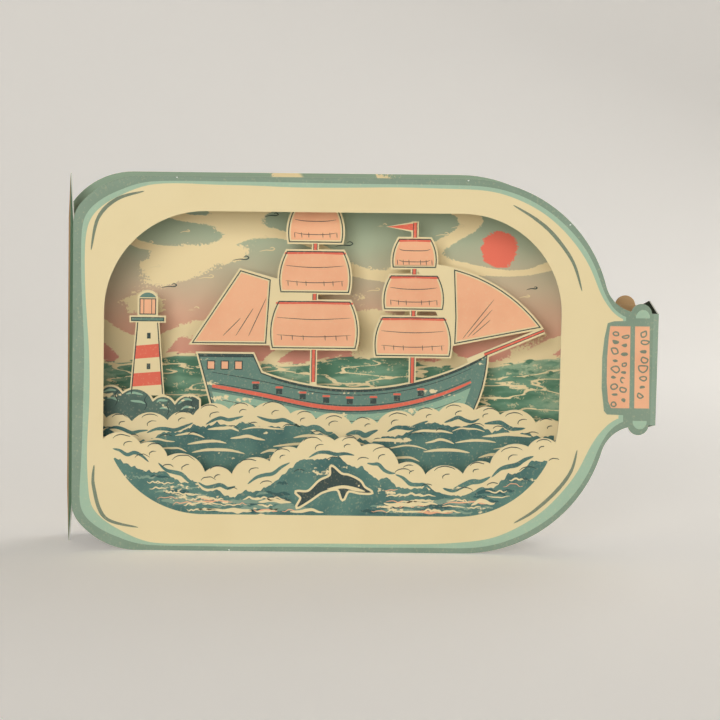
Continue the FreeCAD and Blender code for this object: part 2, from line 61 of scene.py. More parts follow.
tones = {
    "cream": (234, 216, 170), "creamDeep": (226, 205, 155), "cutEdge": (222, 224, 212),
    # The strip sage is sage with a painted highlight, for light caught where the strip at the stopper bends
    "sage": (138, 157, 137), "sageDeep": (114, 135, 114), "sageStripPaintedLight": (146, 166, 146),
    "mint": (168, 194, 168), "stroke": (128, 139, 118), "slate": (66, 80, 76),
    "peach": (243, 184, 144), "peachDeep": (226, 150, 116), "coral": (228, 112, 90),
    "teal": (96, 132, 120), "tealDeep": (62, 98, 96), "waterPale": (136, 160, 140),
    "hullTeal": (108, 138, 124), "hullMint": (150, 182, 156), "rock": (92, 116, 104),
    "seaFar": (122, 160, 132), "seaDark": (88, 130, 104), "seaPale": (172, 194, 160),
    "skyTop": (150, 172, 148), "skyHigh": (172, 182, 154), "skyMiddle": (204, 186, 156),
    "skyLow": (222, 172, 144), "skyPink": (222, 152, 132), "cloud": (240, 220, 172),
    # The lobe tone is cream board with painted shade and warm reflected light, which makes it tan
    "sun": (240, 122, 100), "inside": (40, 52, 42), "lobe": (196, 160, 116),
    # The gusset's rear tan is cream board with painted shade and warm reflected light
    "gussetFront": (112, 152, 118), "gussetRearShaded": (228, 190, 140), "nib": (238, 240, 232),
}
colours = {name: ink(*tone) for name, tone in tones.items()}


def operator(operation):
    return lambda first, second: first.graph.maths(operation, first, second)


class Wire:
    # One shader socket, so that maths on it can be written as an expression.
    def __init__(self, graph, socket):
        self.graph = graph
        self.socket = socket

    __add__ = __radd__ = operator("ADD")
    __sub__ = operator("SUBTRACT")
    __mul__ = operator("MULTIPLY")
    __truediv__ = operator("DIVIDE")
    __gt__ = operator("GREATER_THAN")
    __lt__ = operator("LESS_THAN")


class Graph:
    # A material and its nodes.
    def __init__(self, name):
        self.material = bpy.data.materials.new(name)
        self.material.use_nodes = True
        self.tree = self.material.node_tree
        self.shader = self.tree.nodes["Principled BSDF"]
        self.shader.inputs["Specular IOR Level"].default_value = 0.22

    def node(self, kind, inputs=None, settings=None, output=0):
        made = self.tree.nodes.new(kind)
        for key, value in (settings or {}).items():
            setattr(made, key, value)
        for key, value in (inputs or {}).items():
            self.feed(made.inputs[key], value)
        return Wire(self, made.outputs[output])

    def feed(self, socket, value):
        # Links a wire, or sets a value or a named colour.
        if isinstance(value, Wire):
            self.tree.links.new(value.socket, socket)
        else:
            socket.default_value = colours[value] if isinstance(value, str) else value

    def maths(self, operation, first, second=0.5):
        return self.node("ShaderNodeMath", {0: first, 1: second}, {"operation": operation})

    def ramp(self, factor, stops):
        wire = self.node("ShaderNodeValToRGB", {"Fac": factor})
        elements = wire.socket.node.color_ramp.elements
        while len(elements) < len(stops):
            elements.new(0.5)
        for element, (place, tone) in zip(elements, stops):
            element.position = place
            element.color = colours[tone]
        return wire

    def place(self):
        return self.node("ShaderNodeTexCoord", output=3)

    def parts(self, vector):
        return [self.node("ShaderNodeSeparateXYZ", {0: vector}, output=axis) for axis in range(3)]

    def facing(self):
        # The face's normal along each axis.
        return self.parts(self.node("ShaderNodeTexCoord", output=1))

    def grain(self, scale, detail, rough=0.5):
        # Noise of one scale, or of three that stretch it along the axes.
        vector = self.place()
        if isinstance(scale, tuple):
            vector = self.node("ShaderNodeMapping", {"Vector": vector, "Scale": scale})
            scale = 1.0
        inputs = {"Vector": vector, "Scale": scale, "Detail": detail, "Roughness": rough}
        return self.node("ShaderNodeTexNoise", inputs)

    def blend(self, factor, first, second):
        settings = {"data_type": "RGBA", "clamp_factor": True}
        return self.node("ShaderNodeMix", {0: factor, 6: first, 7: second}, settings, 2)

    def soft(self, value, low, high):
        inputs = {"Value": value, "From Min": low, "From Max": high}
        return self.node("ShaderNodeMapRange", inputs, {"interpolation_type": "SMOOTHSTEP"})

    def creamBoard(self, scale, share):
        mottle = self.soft(self.grain(scale, 4.0), 0.3, 0.8)
        return self.blend(mottle * share, "cream", "creamDeep")

    def finish(self, colour):
        # Uncoated board: fine tooth in the relief and a little change in its dullness.
        tooth = self.grain(2600, 3.0)
        fibre = self.grain((420, 420, 1400), 2.0)
        relief = {"Strength": 0.25, "Distance": 0.00004, "Height": tooth * 0.6 + fibre * 0.4}
        looks = {"Normal": self.node("ShaderNodeBump", relief), "Roughness": (tooth - 0.5) * 0.12 + 0.82,
                 "Base Color": colour}
        for name, value in looks.items():
            self.feed(self.shader.inputs[name], value)
        return self.material


def inkMaterial(name, tone, cloudiness, deepTone=None, dry=0.0):
    # Flat ink: a cloudy change of tone, fine speckle, and where it is dry, bare cream board.
    graph = Graph(name)
    deeper = deepTone or (*(value * 0.8 for value in colours[tone][:3]), 1.0)
    cloudy = graph.soft(graph.grain(70, 3.0), 0.35, 0.75)
    speckle = graph.soft(graph.grain(1500, 2.0), 0.55, 0.75)
    mixed = graph.blend(cloudy * cloudiness, tone, deeper)
    mixed = graph.blend(speckle * 0.16, mixed, "cream")
    if dry:
        brush = graph.grain((95, 95, 380), 4.0)
        field = brush + (graph.grain(900, 1.0) - 0.5) * 0.35
        mixed = graph.blend(graph.soft(field, 1 - dry, 1.06 - dry), mixed, "cream")
    return graph.finish(mixed)


inkTable = {
    # ink: material, colour, cloudiness, deeper tone, how dry the brush was
    "sage": ("sage_ink", "sage", 0.35, "sageDeep"),
    # A paler sage: a painted highlight on the strip at the stopper's edge
    "strip": ("painted_highlight_sage_ink", "sageStripPaintedLight", 0.3),
    "mint": ("mint_ink", "mint", 0.3),
    "stroke": ("stroke_ink", "stroke", 0.5),
    "slate": ("slate_ink", "slate", 0.3),
    "peach": ("peach_ink", "peach", 0.4, "peachDeep"),
    "coral": ("coral_ink", "coral", 0.3),
    "cream": ("cream_ink", "cream", 0.3, "creamDeep"),
    "hullTeal": ("hull_teal_ink", "hullTeal", 0.45, None, 0.36),
    "hullMint": ("hull_mint_ink", "hullMint", 0.35, None, 0.42),
    "water": ("water_ink", "teal", 0.9, "tealDeep", 0.34),
    "waterPale": ("pale_water_ink", "waterPale", 0.5, "teal", 0.42),
    "waterDeep": ("deep_water_ink", "tealDeep", 0.6, "slate", 0.32),
    "rock": ("rock_ink", "rock", 0.8, "slate", 0.36),
    "nib": ("torn_fibre", "nib", 0.1),
}
inks = {inkName: inkMaterial(*row) for inkName, row in inkTable.items()}
print("inks mixed:", len(inks))


# Drawing helpers
def arcAbout(centre, radius, first, sweep, steps, start=0):
    # Points of an arc round a centre, at even steps of its sweep.
    angles = [first + sweep * step / steps for step in range(start, start + steps)]
    return [(centre[0] + radius * cos(angle), centre[1] + radius * sin(angle)) for angle in angles]


def box(x0, z0, x1, z1):
    return [(x0, z0), (x1, z0), (x1, z1), (x0, z1)]


def arcBetween(start, finish, radius, side, steps):
    # Points of an arc from start to finish that swells to one side of its chord.
    chord = dist(start, finish)
    alongX = (finish[0] - start[0]) / chord
    alongZ = (finish[1] - start[1]) / chord
    turn = 1 if side == "right" else -1
    reach = sqrt(max(radius ** 2 - (chord / 2) ** 2, 0)) * turn
    centreX = (start[0] + finish[0]) / 2 - alongZ * reach
    centreZ = (start[1] + finish[1]) / 2 + alongX * reach
    first = atan2(start[1] - centreZ, start[0] - centreX)
    sweep = 2 * asin(min(chord / 2 / radius, 1)) * turn
    return arcAbout((centreX, centreZ), radius, first, sweep, steps)


def smooth(points, steps, closed=False):
    # A soft line through a few given points.
    count = len(points)
    line = []
    for index in range(count if closed else count - 1):
        places = [index + shift for shift in (-1, 0, 1, 2)]
        near = [points[place % count if closed else min(max(place, 0), count - 1)] for place in places]
        for step in range(steps):
            t = step / steps
            weights = (-t + 2 * t ** 2 - t ** 3, 2 - 5 * t ** 2 + 3 * t ** 3,
                       t + 4 * t ** 2 - 3 * t ** 3, t ** 3 - t ** 2)
            line.append(tuple(sum(weight * point[axis] for weight, point in zip(weights, near)) / 2
                              for axis in (0, 1)))
    if not closed:
        line.append(tuple(points[-1][:2]))
    return line


def tidy(points):
    # Leaves out points that lie on their neighbour.
    kept = [point for index, point in enumerate(points) if dist(point, points[index - 1]) > 0.01]
    area = sum(kept[i - 1][0] * kept[i][1] - kept[i][0] * kept[i - 1][1] for i in range(len(kept)))
    return kept if area > 0 else kept[::-1]


def inset(points, distance):
    # A closed outline moved in by a distance, or by a list of them, one for each point.
    loop = tidy(points)
    moved = []
    for index, point in enumerate(loop):
        before = Vector(point) - Vector(loop[index - 1])
        after = Vector(loop[(index + 1) % len(loop)]) - Vector(point)
        first = Vector((-before.y, before.x)).normalized()
        second = Vector((-after.y, after.x)).normalized()
        corner = (first + second) / max(1 + first.dot(second), 0.5)
        width = distance[index] if isinstance(distance, list) else distance
        moved.append((point[0] + corner.x * width, point[1] + corner.y * width))
    return moved


def brushLine(points, width, start, finish, steps=8):
    # A brush stroke: widest in the middle, thin where it starts and where it ends.
    line = smooth(points, steps)
    count = len(line)
    left = []
    right = []
    for index, point in enumerate(line):
        before = line[max(index - 1, 0)]
        after = line[min(index + 1, count - 1)]
        along = Vector((after[0] - before[0], after[1] - before[1])).normalized()
        share = index / (count - 1)
        body = sin(pi * share) ** 0.6
        edge = start * (1 - share) + finish * share
        half = width / 2 * (edge + (1 - edge) * body)
        half *= 1 + 0.12 * noise.noise(Vector((point[0] * 0.9, point[1] * 0.9, width)))
        left.append((point[0] - along.y * half, point[1] + along.x * half))
        right.append((point[0] + along.y * half, point[1] - along.x * half))
    return left + right[::-1]


def clearSelection():
    bpy.ops.object.select_all(action="DESELECT")


def printPatches(slotName, name, patches, level, inkName):
    # Prints a list of patches in one ink. A patch is a closed outline and any holes in it.
    made = []
    for number, patch in enumerate(patches):
        loops = patch if isinstance(patch[0][0], tuple) else [patch]
        curve = bpy.data.curves.new(name, "CURVE")
        curve.dimensions = "2D"
        curve.fill_mode = "BOTH"
        curve.extrude = card["inkHalf"] * mm
        for loop in loops:
            loop = tidy(loop)
            spline = curve.splines.new("POLY")
            spline.points.add(len(loop) - 1)
            for point, (x, z) in zip(spline.points, loop):
                point.co = ((x + card["middle"]) * mm, (z + card["axis"]) * mm, 0, 1)
            spline.use_cyclic_u = True
        flat = bpy.data.objects.new(name, curve)
        bpy.context.collection.objects.link(flat)
        rise = level * card["inkStep"] + number % card["inkTurns"] * card["inkShuffle"]
        flat.rotation_euler = (pi / 2, 0, 0)
        flat.location = (0, (card["faces"][slotName] - rise) * mm, 0)
        made.append(flat)
    clearSelection()
    for flat in made:
        flat.select_set(True)
    bpy.context.view_layer.objects.active = made[0]
    bpy.ops.object.convert(target="MESH")
    if len(made) > 1:
        bpy.ops.object.join()
    piece = bpy.context.active_object
    bpy.ops.object.transform_apply()
    bpy.ops.object.mode_set(mode="EDIT")
    bpy.ops.mesh.select_all(action="SELECT")
    bpy.ops.mesh.remove_doubles(threshold=0.000001)
    bpy.ops.mesh.normals_make_consistent()
    bpy.ops.object.mode_set(mode="OBJECT")
    piece.data.materials.append(inks[inkName])
    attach(piece, "root")


onFront = partial(printPatches, "front_card")
onShip = partial(printPatches, "ship_card")
onBack = partial(printPatches, "back_card")


# Outline of the bottle, as the front panel is cut
bottle = {
    "left": -90.0, "right": 90.0, "top": 58.0, "foldTop": 43.3, "cornerRun": 20.5, "cornerRadius": 9.5,
    "shoulderX": 31.2, "shoulderRadius": 44.0, "neckRadius": 11.0, "throat": (81.6, 17.9),
    "lipRadius": 3.2, "lipEnd": (87.9, 17.3),
}


def halfBottle():
    # Upper half of the outline, from the left fold to the right one.
    left = bottle["left"]
    top = bottle["top"]
    foldTop = bottle["foldTop"]
    tight = bottle["cornerRadius"]
    run = bottle["cornerRun"]
    rise = top - foldTop
    wide = ((run - tight) ** 2 + rise ** 2 - tight ** 2) / (2 * (rise - tight))
    tightCentre = (left + tight, foldTop)
    wideCentre = (left + run, top - wide)
    lean = atan2(tightCentre[1] - wideCentre[1], tightCentre[0] - wideCentre[0])
    points = [(left, foldTop * step / 10) for step in range(11)]
    points += arcAbout(tightCentre, tight, pi, lean - pi, 12, 1)
    points += arcAbout(wideCentre, wide, lean, pi / 2 - lean, 14, 1)
    start = left + run
    points += [(start + (bottle["shoulderX"] - start) * step / 24, top) for step in range(1, 25)]
    shoulder = bottle["shoulderRadius"]
    neck = bottle["neckRadius"]
    centre = (bottle["shoulderX"], top - shoulder)
    throat = bottle["throat"]
    span = dist(centre, throat)
    swing = acos((span ** 2 + (shoulder + neck) ** 2 - neck ** 2) / (2 * span * (shoulder + neck)))
    bearing = swing + atan2(throat[1] - centre[1], throat[0] - centre[0])
    points += arcAbout(centre, shoulder, pi / 2, bearing - pi / 2, 30, 1)
    points += arcBetween(points[-1], throat, neck, "right", 12)[1:]
    points += arcBetween(throat, bottle["lipEnd"], bottle["lipRadius"], "left", 14)
    return points + [bottle["lipEnd"], (bottle["right"], bottle["lipEnd"][1])]


upperHalf = halfBottle()
bottleOutline = upperHalf + [(x, -z) for x, z in reversed(upperHalf)]

# Widths of the two bands at stations round the bottle: x, z, sage band, mint band
bandStations = [
    (-90, 34, 2.2, 1.0), (-90, 19, 3.0, 0.9), (-90, 4, 4.1, 1.6), (-90, -12, 3.3, 1.9),
    (-90, -27, 3.0, 1.1), (-90, -38, 2.6, 2.6), (-86, 52, 2.5, 1.4), (-77, 56, 2.2, 0.9),
    (-63, 57, 1.3, 0.6), (-40, 57, 1.5, 1.0), (-20, 57, 1.6, 1.5), (18, 57, 1.9, 1.1),
    (40, 56, 1.8, 1.2), (50, 53, 1.8, 1.4), (62, 44, 1.7, 1.6), (69, 35, 1.3, 1.5),
    (74, 26, 1.2, 1.3), (77, 21, 1.4, 1.2), (81, 18, 2.4, 0.5), (-86, -50, 1.8, 2.9),
    (-76, -57, 1.8, 1.5), (-63, -57, 1.4, 0.4), (-40, -57, 1.4, 0.8), (-20, -57, 1.5, 1.2),
    (18, -57, 1.6, 1.1), (40, -56, 1.6, 2.2), (50, -53, 1.8, 2.8), (64, -43, 1.5, 3.2),
    (72, -30, 1.2, 3.2), (77, -21, 1.4, 2.6), (81, -18, 2.4, 0.6),
]


def weighted(values, weights):
    return sum(value * weight for value, weight in zip(values, weights)) / sum(weights)


def bandWidths(loop, column, wobble):
    # Width of a band at each point: nearer stations count for more, neighbours are evened
    # out, and the hand wavers a little.
    raw = []
    for point in loop:
        nearness = [1 / (dist(point, station[:2]) ** 3 + 20) for station in bandStations]
        waver = noise.noise(Vector((point[0] * 0.06, point[1] * 0.06, column)))
        width = weighted([station[column] for station in bandStations], nearness)
        raw.append(width * (1 + wobble * waver))
    return [max(weighted(raw, [exp(-(dist(point, other) / 5) ** 2) for other in loop]), 0.12)
            for point in loop]


def softened(loop, reach):
    # The loop at an even pitch with its kinks eased. Its longest side, across the neck, stays.
    pitch = 1.2
    sides = [dist(point, loop[index - 1]) for index, point in enumerate(loop)]
    first = sides.index(max(sides))
    line = loop[first:] + loop[:first]
    even = [line[0]]
    for start, finish in zip(line, line[1:]):
        parts = max(round(dist(start, finish) / pitch), 1)
        even += [tuple(a + (b - a) * part / parts for a, b in zip(start, finish))
                 for part in range(1, parts + 1)]
    soft = []
    for index, point in enumerate(even):
        # The tight corners at the bottle's foot are eased most, the two ends not at all
        corner = min(max((-66 - point[0]) / 10, 0), 1) * 5.5
        toEnd = min(index, len(even) - 1 - index)
        spread = min((reach + corner) / pitch, toEnd * 0.6 + 0.1)
        near = range(max(index - 16, 0), min(index + 17, len(even)))
        weights = [exp(-((other - index) / spread) ** 2) for other in near]
        soft.append(tuple(weighted([even[other][axis] for other in near], weights) for axis in (0, 1)))
    return soft


def frontBands():
    ring = tidy(bottleOutline)
    moved = dict(zip(ring, inset(ring, bandWidths(ring, 2, 0.12))))
    inner = softened([moved[point] for point in ring if point[0] < 81.0], 5.4)
    field = inset(inner, bandWidths(inner, 3, 0.3))
    field = softened([point for point in field if point[0] < 80.3], 4.0)
    onFront("sage_band", [[ring, inner]], 1, "sage")
    onFront("mint_band", [[inner, field]], 2, "mint")
    print("bottle bands printed")


highlights = {
    "width": 1.12,
    "strokes": [            # top left, bottom left, top right, bottom right
        [(-84.5, 35.1), (-82.4, 45.0), (-76.7, 50.8), (-68.4, 53.3)],
        [(-83.1, -31.5), (-83.2, -38.2), (-79.6, -47.9), (-69.3, -50.9)],
        [(44.5, 50.2), (51.5, 46.0), (57.2, 41.1), (63.2, 33.0), (66.2, 24.1)],
        [(66.1, -25.2), (64.4, -31.8), (60.0, -38.1), (53.3, -44.4), (47.1, -48.3)],
    ],
}


def glassHighlights():
    strokes = [brushLine(points, highlights["width"], 0.1, 0.1) for points in highlights["strokes"]]
    onFront("glass_highlights", strokes, 3, "stroke")


cork = {
    "columns": ((76.8, 0.4), (79.8, 0.4), (85.4, 0.7)),
    "outline": [(74.4, 14.3), (76.3, 14.9), (82.0, 15.1), (88.0, 15.0), (88.4, -14.2), (82.0, -14.2),
                (75.0, -14.0), (74.0, -12.9), (73.1, -5.8), (73.0, 3.6), (73.5, 9.6)],
    "wide": [(75.2, 13.4), (81.4, 13.4), (81.8, -12.0), (76.2, -12.0), (75.2, -9.9), (74.6, -4.0),
             (74.5, 3.6), (74.8, 9.9)],
    "narrow": [(82.8, 13.4), (87.3, 13.4), (87.9, -12.0), (83.3, -12.0)],
    "strip": [(88.4, 17.25), (89.95, 17.25), (89.95, -17.25), (88.4, -17.25)],
    "lip": [(83.0, 15.9), (83.1, 16.9), (84.0, 18.1), (85.2, 18.5), (86.4, 18.1), (87.2, 16.9),
            (87.3, 15.9)],
    "rows": 9, "top": 11.2, "foot": -11.8, "pitch": 2.75, "stagger": 0.4, "line": 0.45, "seed": 18,
    # Half sizes of the pores, and the share of them that are rings
    "wideRange": (0.95, 1.55), "tallRange": (0.8, 1.4), "rings": 0.68,
}


def speck(centreX, centreZ, wide, tall, draw):
    # An irregular closed outline, as a pore in cork.
    count = 6
    turn = draw.uniform(0, 1)
    ring = []
    for step in range(count):
        angle = tau * (step + turn) / count
        reach = draw.uniform(0.68, 1.2)
        ring.append((centreX + wide * reach * cos(angle), centreZ + tall * reach * sin(angle)))
    return smooth(ring, 4, True)


def corkLabel():
    draw = random.Random(cork["seed"])
    onFront("cork_ground", [cork["outline"]], 3, "sage")
    onFront("cork_face", [cork["wide"], cork["narrow"]], 4, "peach")
    # A painted highlight: the strip along the stopper's edge, paler where its bend catches the light
    onFront("neck_strip", [cork["strip"]], 2, "strip")
    pores = []
    for column, (columnX, spread) in enumerate(cork["columns"]):
        for row in range(cork["rows"]):
            steps = row + cork["stagger"] * (column % 2)
            z = cork["top"] - steps * cork["pitch"] + draw.uniform(-0.3, 0.3)
            x = columnX + draw.uniform(-spread, spread)
            wide = draw.uniform(*cork["wideRange"])
            tall = draw.uniform(*cork["tallRange"])
            if z - tall < cork["foot"]:
                continue
            ring = speck(x, z, wide, tall, draw)
            if draw.random() < cork["rings"]:
                pores.append([ring, inset(ring, cork["line"])])
            else:
                pores.append(speck(x, z, wide * 0.8, tall * 0.5, draw))
    onFront("cork_pores", pores, 5, "stroke")
    upperLip = smooth(cork["lip"], 5) + cork["lip"][:1]
    lowerLip = [(x, -z) for x, z in upperLip]
    onFront("lip_lights", [upperLip, lowerLip], 2, "mint")
    print("cork printed:", len(pores), "pores")


# Foam edges, cut with the same rule as the sheets
windowShape = {"left": -80.4, "right": 60.2, "foot": -46.5, "radius": 31.0}
seaCut = {
    "count": 14, "west": -80.4, "east": 59.3, "level": -28.5, "swell": 5.5, "waves": 2.05, "phase": -15,
}
surfCut = {
    "count": 16, "west": -91.1, "east": 63.2, "level": -17.5, "swell": 2.4, "waves": 2.3, "phase": 60,
}
rockCut = {
    "count": 5, "west": -91.1, "east": -50.1, "level": -11.5, "swell": 2.0, "waves": 0.8, "phase": -60,
}


def seaFloor(x):
    # Lower bound of the printed sea: the window's rounded foot.
    radius = windowShape["radius"]
    west = windowShape["left"] + radius
    east = windowShape["right"] - radius
    aside = max(west - x, x - east, 0)
    return windowShape["foot"] + radius - sqrt(max(radius ** 2 - aside ** 2, 0))


seaCut["last"] = seaFloor(seaCut["east"])


def swellAt(cut, share):
    # The swell that a foam edge follows, at a share of its length.
    return cut["level"] + cut["swell"] * cos(radians(cut["phase"] + 360 * cut["waves"] * share))


def swellHeight(cut, x):
    return swellAt(cut, (x - cut["west"]) / (cut["east"] - cut["west"]))


def foamCusps(cut):
    cusps = []
    for step in range(cut["count"] + 1):
        share = (step + (0.17 if step % 2 else 0)) / cut["count"]
        cusps.append((cut["west"] + (cut["east"] - cut["west"]) * share, swellAt(cut, share)))
    cusps[-1] = (cut["east"], cut.get("last", cusps[-1][1]))
    return cusps


def foamEdge(cut):
    cusps = foamCusps(cut)
    edge = []
    for start, finish in zip(cusps, cusps[1:]):
        edge += arcBetween(start, finish, dist(start, finish) * 0.64, "left", 9)
    return edge + [cusps[-1]]


def edgeHeight(edge, x):
    for start, finish in zip(edge, edge[1:]):
        if start[0] <= x <= finish[0]:
            share = (x - start[0]) / max(finish[0] - start[0], 0.001)
            return start[1] + (finish[1] - start[1]) * share
    return edge[0][1] if x < edge[0][0] else edge[-1][1]


def wavering(x, z, length, lift, steps, waver, draw):
    # A stroke's course: a low arch that wavers.
    return [(x + length * step / steps,
             z + lift * sin(pi * step / steps) + draw.uniform(-waver, waver)) for step in range(steps + 1)]


def courses(first, last, lengths, gaps, draw):
    # Starts and lengths of the brush strokes in one row.
    x = first
    while x < last:
        length = draw.uniform(*lengths)
        yield x, length
        x += length * draw.uniform(*gaps)


foreground = {
    "foamDepth": 5.0,       # cream foam below the swell
    "roll": 1.2,
    "scallop": 1.8,
    "strip": 3.9,           # water showing through the foam, below the swell
    "seed": 5,
    # Two passes of brush strokes: rows, pitch, shortest and longest stroke, slimness
    "passes": ((6, 2.7, (7, 18), 1.0), (10, 1.7, (3, 8), 0.5)),
    # Width of each ink's strokes, and how often it comes
    "widths": {"waterDeep": 2.2, "waterPale": 1.5, "peach": 0.6, "cream": 1.1},
    "shares": (22, 22, 14, 42),
}


def foamFoot(cut, sizes, start, finish):
    # Lower edge of the foam: it hangs from the swell in ragged scallops of uneven width.
    line = []
    x = start
    while x < finish:
        hang = abs(sin(x * 0.29 + 1.1 * sin(x * 0.13)))
        depth = sizes["foamDepth"] + sizes["roll"] * sin(x * 0.17 + 1) + sizes["scallop"] * hang
        rag = 0.9 * noise.noise(Vector((x * 0.9, sizes["foamDepth"], 0)))
        line.append((x, swellHeight(cut, x) - depth - rag))
        x += 0.5
    return line


def foamStrips(name, cut, sizes, seed, printer, level):
    # Tapered strips of water between one roll of foam and the next.
    draw = random.Random(seed)
    strips = []
    for x, length in courses(cut["west"] + 3, cut["east"] - 14, (8, 15), (0.95, 1.5), draw):
        run = []
        for step in range(6):
            px = x + length * step / 5
            ripple = 0.6 * sin(step * 1.9 + x) + draw.uniform(-0.2, 0.2)
            run.append((px, swellHeight(cut, px) - sizes["strip"] - ripple))
        strips.append(brushLine(run, draw.uniform(1.1, 1.7), 0.02, 0.02, 5))
    printer(name, strips, level, "water")


def foregroundSea():
    draw = random.Random(foreground["seed"])
    top = [(x, z) for x, z in foamFoot(seaCut, foreground, -79.0, 58.0) if z > seaFloor(x) + 0.4]
    bottom = [(x, seaFloor(x)) for x, _ in top]
    onFront("near_water", [top + bottom[::-1]], 1, "water")

    def inWater(x, z):
        aside = (x - dolphin["place"][0]) / dolphin["room"][0]
        above = (z - dolphin["place"][1]) / dolphin["room"][1]
        clear = aside * aside + above * above > 1
        return clear and top[0][0] < x < top[-1][0] and seaFloor(x) + 0.6 < z < edgeHeight(top, x) - 0.6

    strokes = {inkName: [] for inkName in foreground["widths"]}
    for rows, pitch, lengths, slim in foreground["passes"]:
        for row in range(rows):
            z = windowShape["foot"] + 1.3 + row * pitch
            for x, length in courses(-76 + draw.uniform(0, 8), 56, lengths, (0.4, 0.65), draw):
                lift = draw.uniform(-0.5, 1.6) * slim
                run = wavering(x, z, length, lift, 6, 0.35, draw)
                if all(inWater(*point) for point in run):
                    inkName = draw.choices(list(strokes), foreground["shares"])[0]
                    width = foreground["widths"][inkName] * slim * draw.uniform(0.6, 1.2)
                    strokes[inkName].append(brushLine(run, width, 0.02, 0.02))
    for level, inkName in enumerate(strokes):
        onFront("near_strokes_" + inkName, strokes[inkName], level + 2, inkName)
    foamStrips("near_foam_strips", seaCut, foreground, 9, onFront, 1)
    foamCurls("near_foam_curls", seaCut, 3, onFront, 2)
    print("foreground sea printed:", {inkName: len(runs) for inkName, runs in strokes.items()})


# Curls on each lump of foam: size and place aside as shares of the lump, drop, first angle
curlRows = ((0.3, 0, -0.3, 160), (0.17, 0.1, 1.1, 200), (0.22, 0.5, 5.6, 165))


def foamCurls(name, cut, seed, printer, level):
    # Small slate curls that give the foam its lumps.
    draw = random.Random(seed)
    cusps = foamCusps(cut)
    curls = []
    for start, finish in zip(cusps, cusps[1:]):
        middleX = (start[0] + finish[0]) / 2
        middleZ = (start[1] + finish[1]) / 2
        chord = dist(start, finish)
        for share, aside, drop, first in curlRows:
            size = chord * share * draw.uniform(0.8, 1.1)
            x = middleX + (aside + draw.uniform(-0.1, 0.1)) * chord
            z = middleZ - drop + draw.uniform(-0.3, 0.3)
            hook = []
            for step in range(6):
                angle = radians(first - step * draw.uniform(22, 30))
                hook.append((x + size * cos(angle), z + size * 0.62 * sin(angle)))
            curls.append(brushLine(hook, 0.3, 0.2, 0.05, 5))
    printer(name, curls, level, "slate")


dolphin = {
    "place": (-8.0, -37.8), "scale": 0.82,
    "room": (14.5, 8.0),    # half the width and height kept clear of brush strokes
    "body": [(13.0, -1.6), (10.4, 0.2), (8.6, 2.6), (4.6, 4.6), (1.6, 5.2), (-2.0, 8.0), (-2.4, 4.6),
             (-6.4, 2.4), (-10.6, -1.6), (-15.0, -1.8), (-13.2, -4.0), (-14.6, -7.4), (-10.2, -4.8),
             (-5.2, -1.4), (0.4, -0.4), (2.4, -4.2), (4.4, -1.0), (8.8, -1.6)],
    "belly": [(10.8, -1.2), (7.0, 0.3), (2.0, 1.0), (-3.6, -0.4), (-1.0, -0.6), (3.0, -0.2), (7.4, -1.2)],
    "eye": (8.4, 0.9), "eyeRadius": 0.28,
}


def leapingDolphin():
    placeX, placeZ = dolphin["place"]
    scale = dolphin["scale"]

    def moved(points):
        return [(placeX + x * scale, placeZ + z * scale) for x, z in points]

    body = smooth(moved(dolphin["body"]), 6, True)
    eye = arcAbout(moved([dolphin["eye"]])[0], dolphin["eyeRadius"], 0, tau, 10)
    onFront("dolphin_border", [inset(body, -0.7)], 5, "cream")
    onFront("dolphin_body", [body], 6, "slate")
    onFront("dolphin_belly", [smooth(moved(dolphin["belly"]), 6, True), eye], 7, "cream")


nibs = [(-58.4, 57.6), (30.6, 57.6), (-41.0, -57.6), (62.0, 44.4)]


def dieNibs():
    # Tiny torn fibres where the die held the sheet.
    draw = random.Random(3)
    patches = [speck(x, z, 0.26, 0.2, draw) for x, z in nibs]
    onFront("die_nibs", patches, 8, "nib")


# Ship layer
ship = {
    "border": 0.55,         # cream left between the cut and the print
    "line": 0.34,           # slate outline
    "stern": -52.0, "bow": 40.0, "keel": -30.5, "deck": -9.5,
    "sternRail": 2.5, "waistRail": -3.5, "bowRail": 3.5,
    "waistRun": -20.0,      # where the planks leave the rail
    "main": (-15.0, 54.5, 27.0),    # each mast's place, top and widest sail
    "fore": (16.0, 44.0, 24.0),
    "sailStep": 4.8, "sailTaper": 4.0, "spar": 2.2, "sprit": 17.0,
    "sails": ((0.2, 0.45), (0.475, 0.695), (0.72, 0.91)),
    "pennant": (9.0, 3.4),
    "planks": ((5.7, 0.28), (7.5, 0.3), (2.3, 0.24), (10.6, 0.22), (13.2, 0.22)),   # drop, width
    "stripe": (6.6, 1.25),
    "ports": (8, 19, 7.4),      # number, first one's distance from the stern, pitch
    "portDrop": 4.4,
    "windows": (3, 3.6, 4.3),
}
ship["tip"] = (ship["bow"] + ship["sprit"], ship["bowRail"] + ship["sprit"] * 0.4)


def ringOf(outline):
    # The slate line just inside a cut edge.
    return [inset(outline, ship["border"]), inset(outline, ship["border"] + ship["line"])]


def evenly(count, start, pitch):
    # Places along the hull, from the stern.
    return [ship["stern"] + start + number * pitch for number in range(count)]


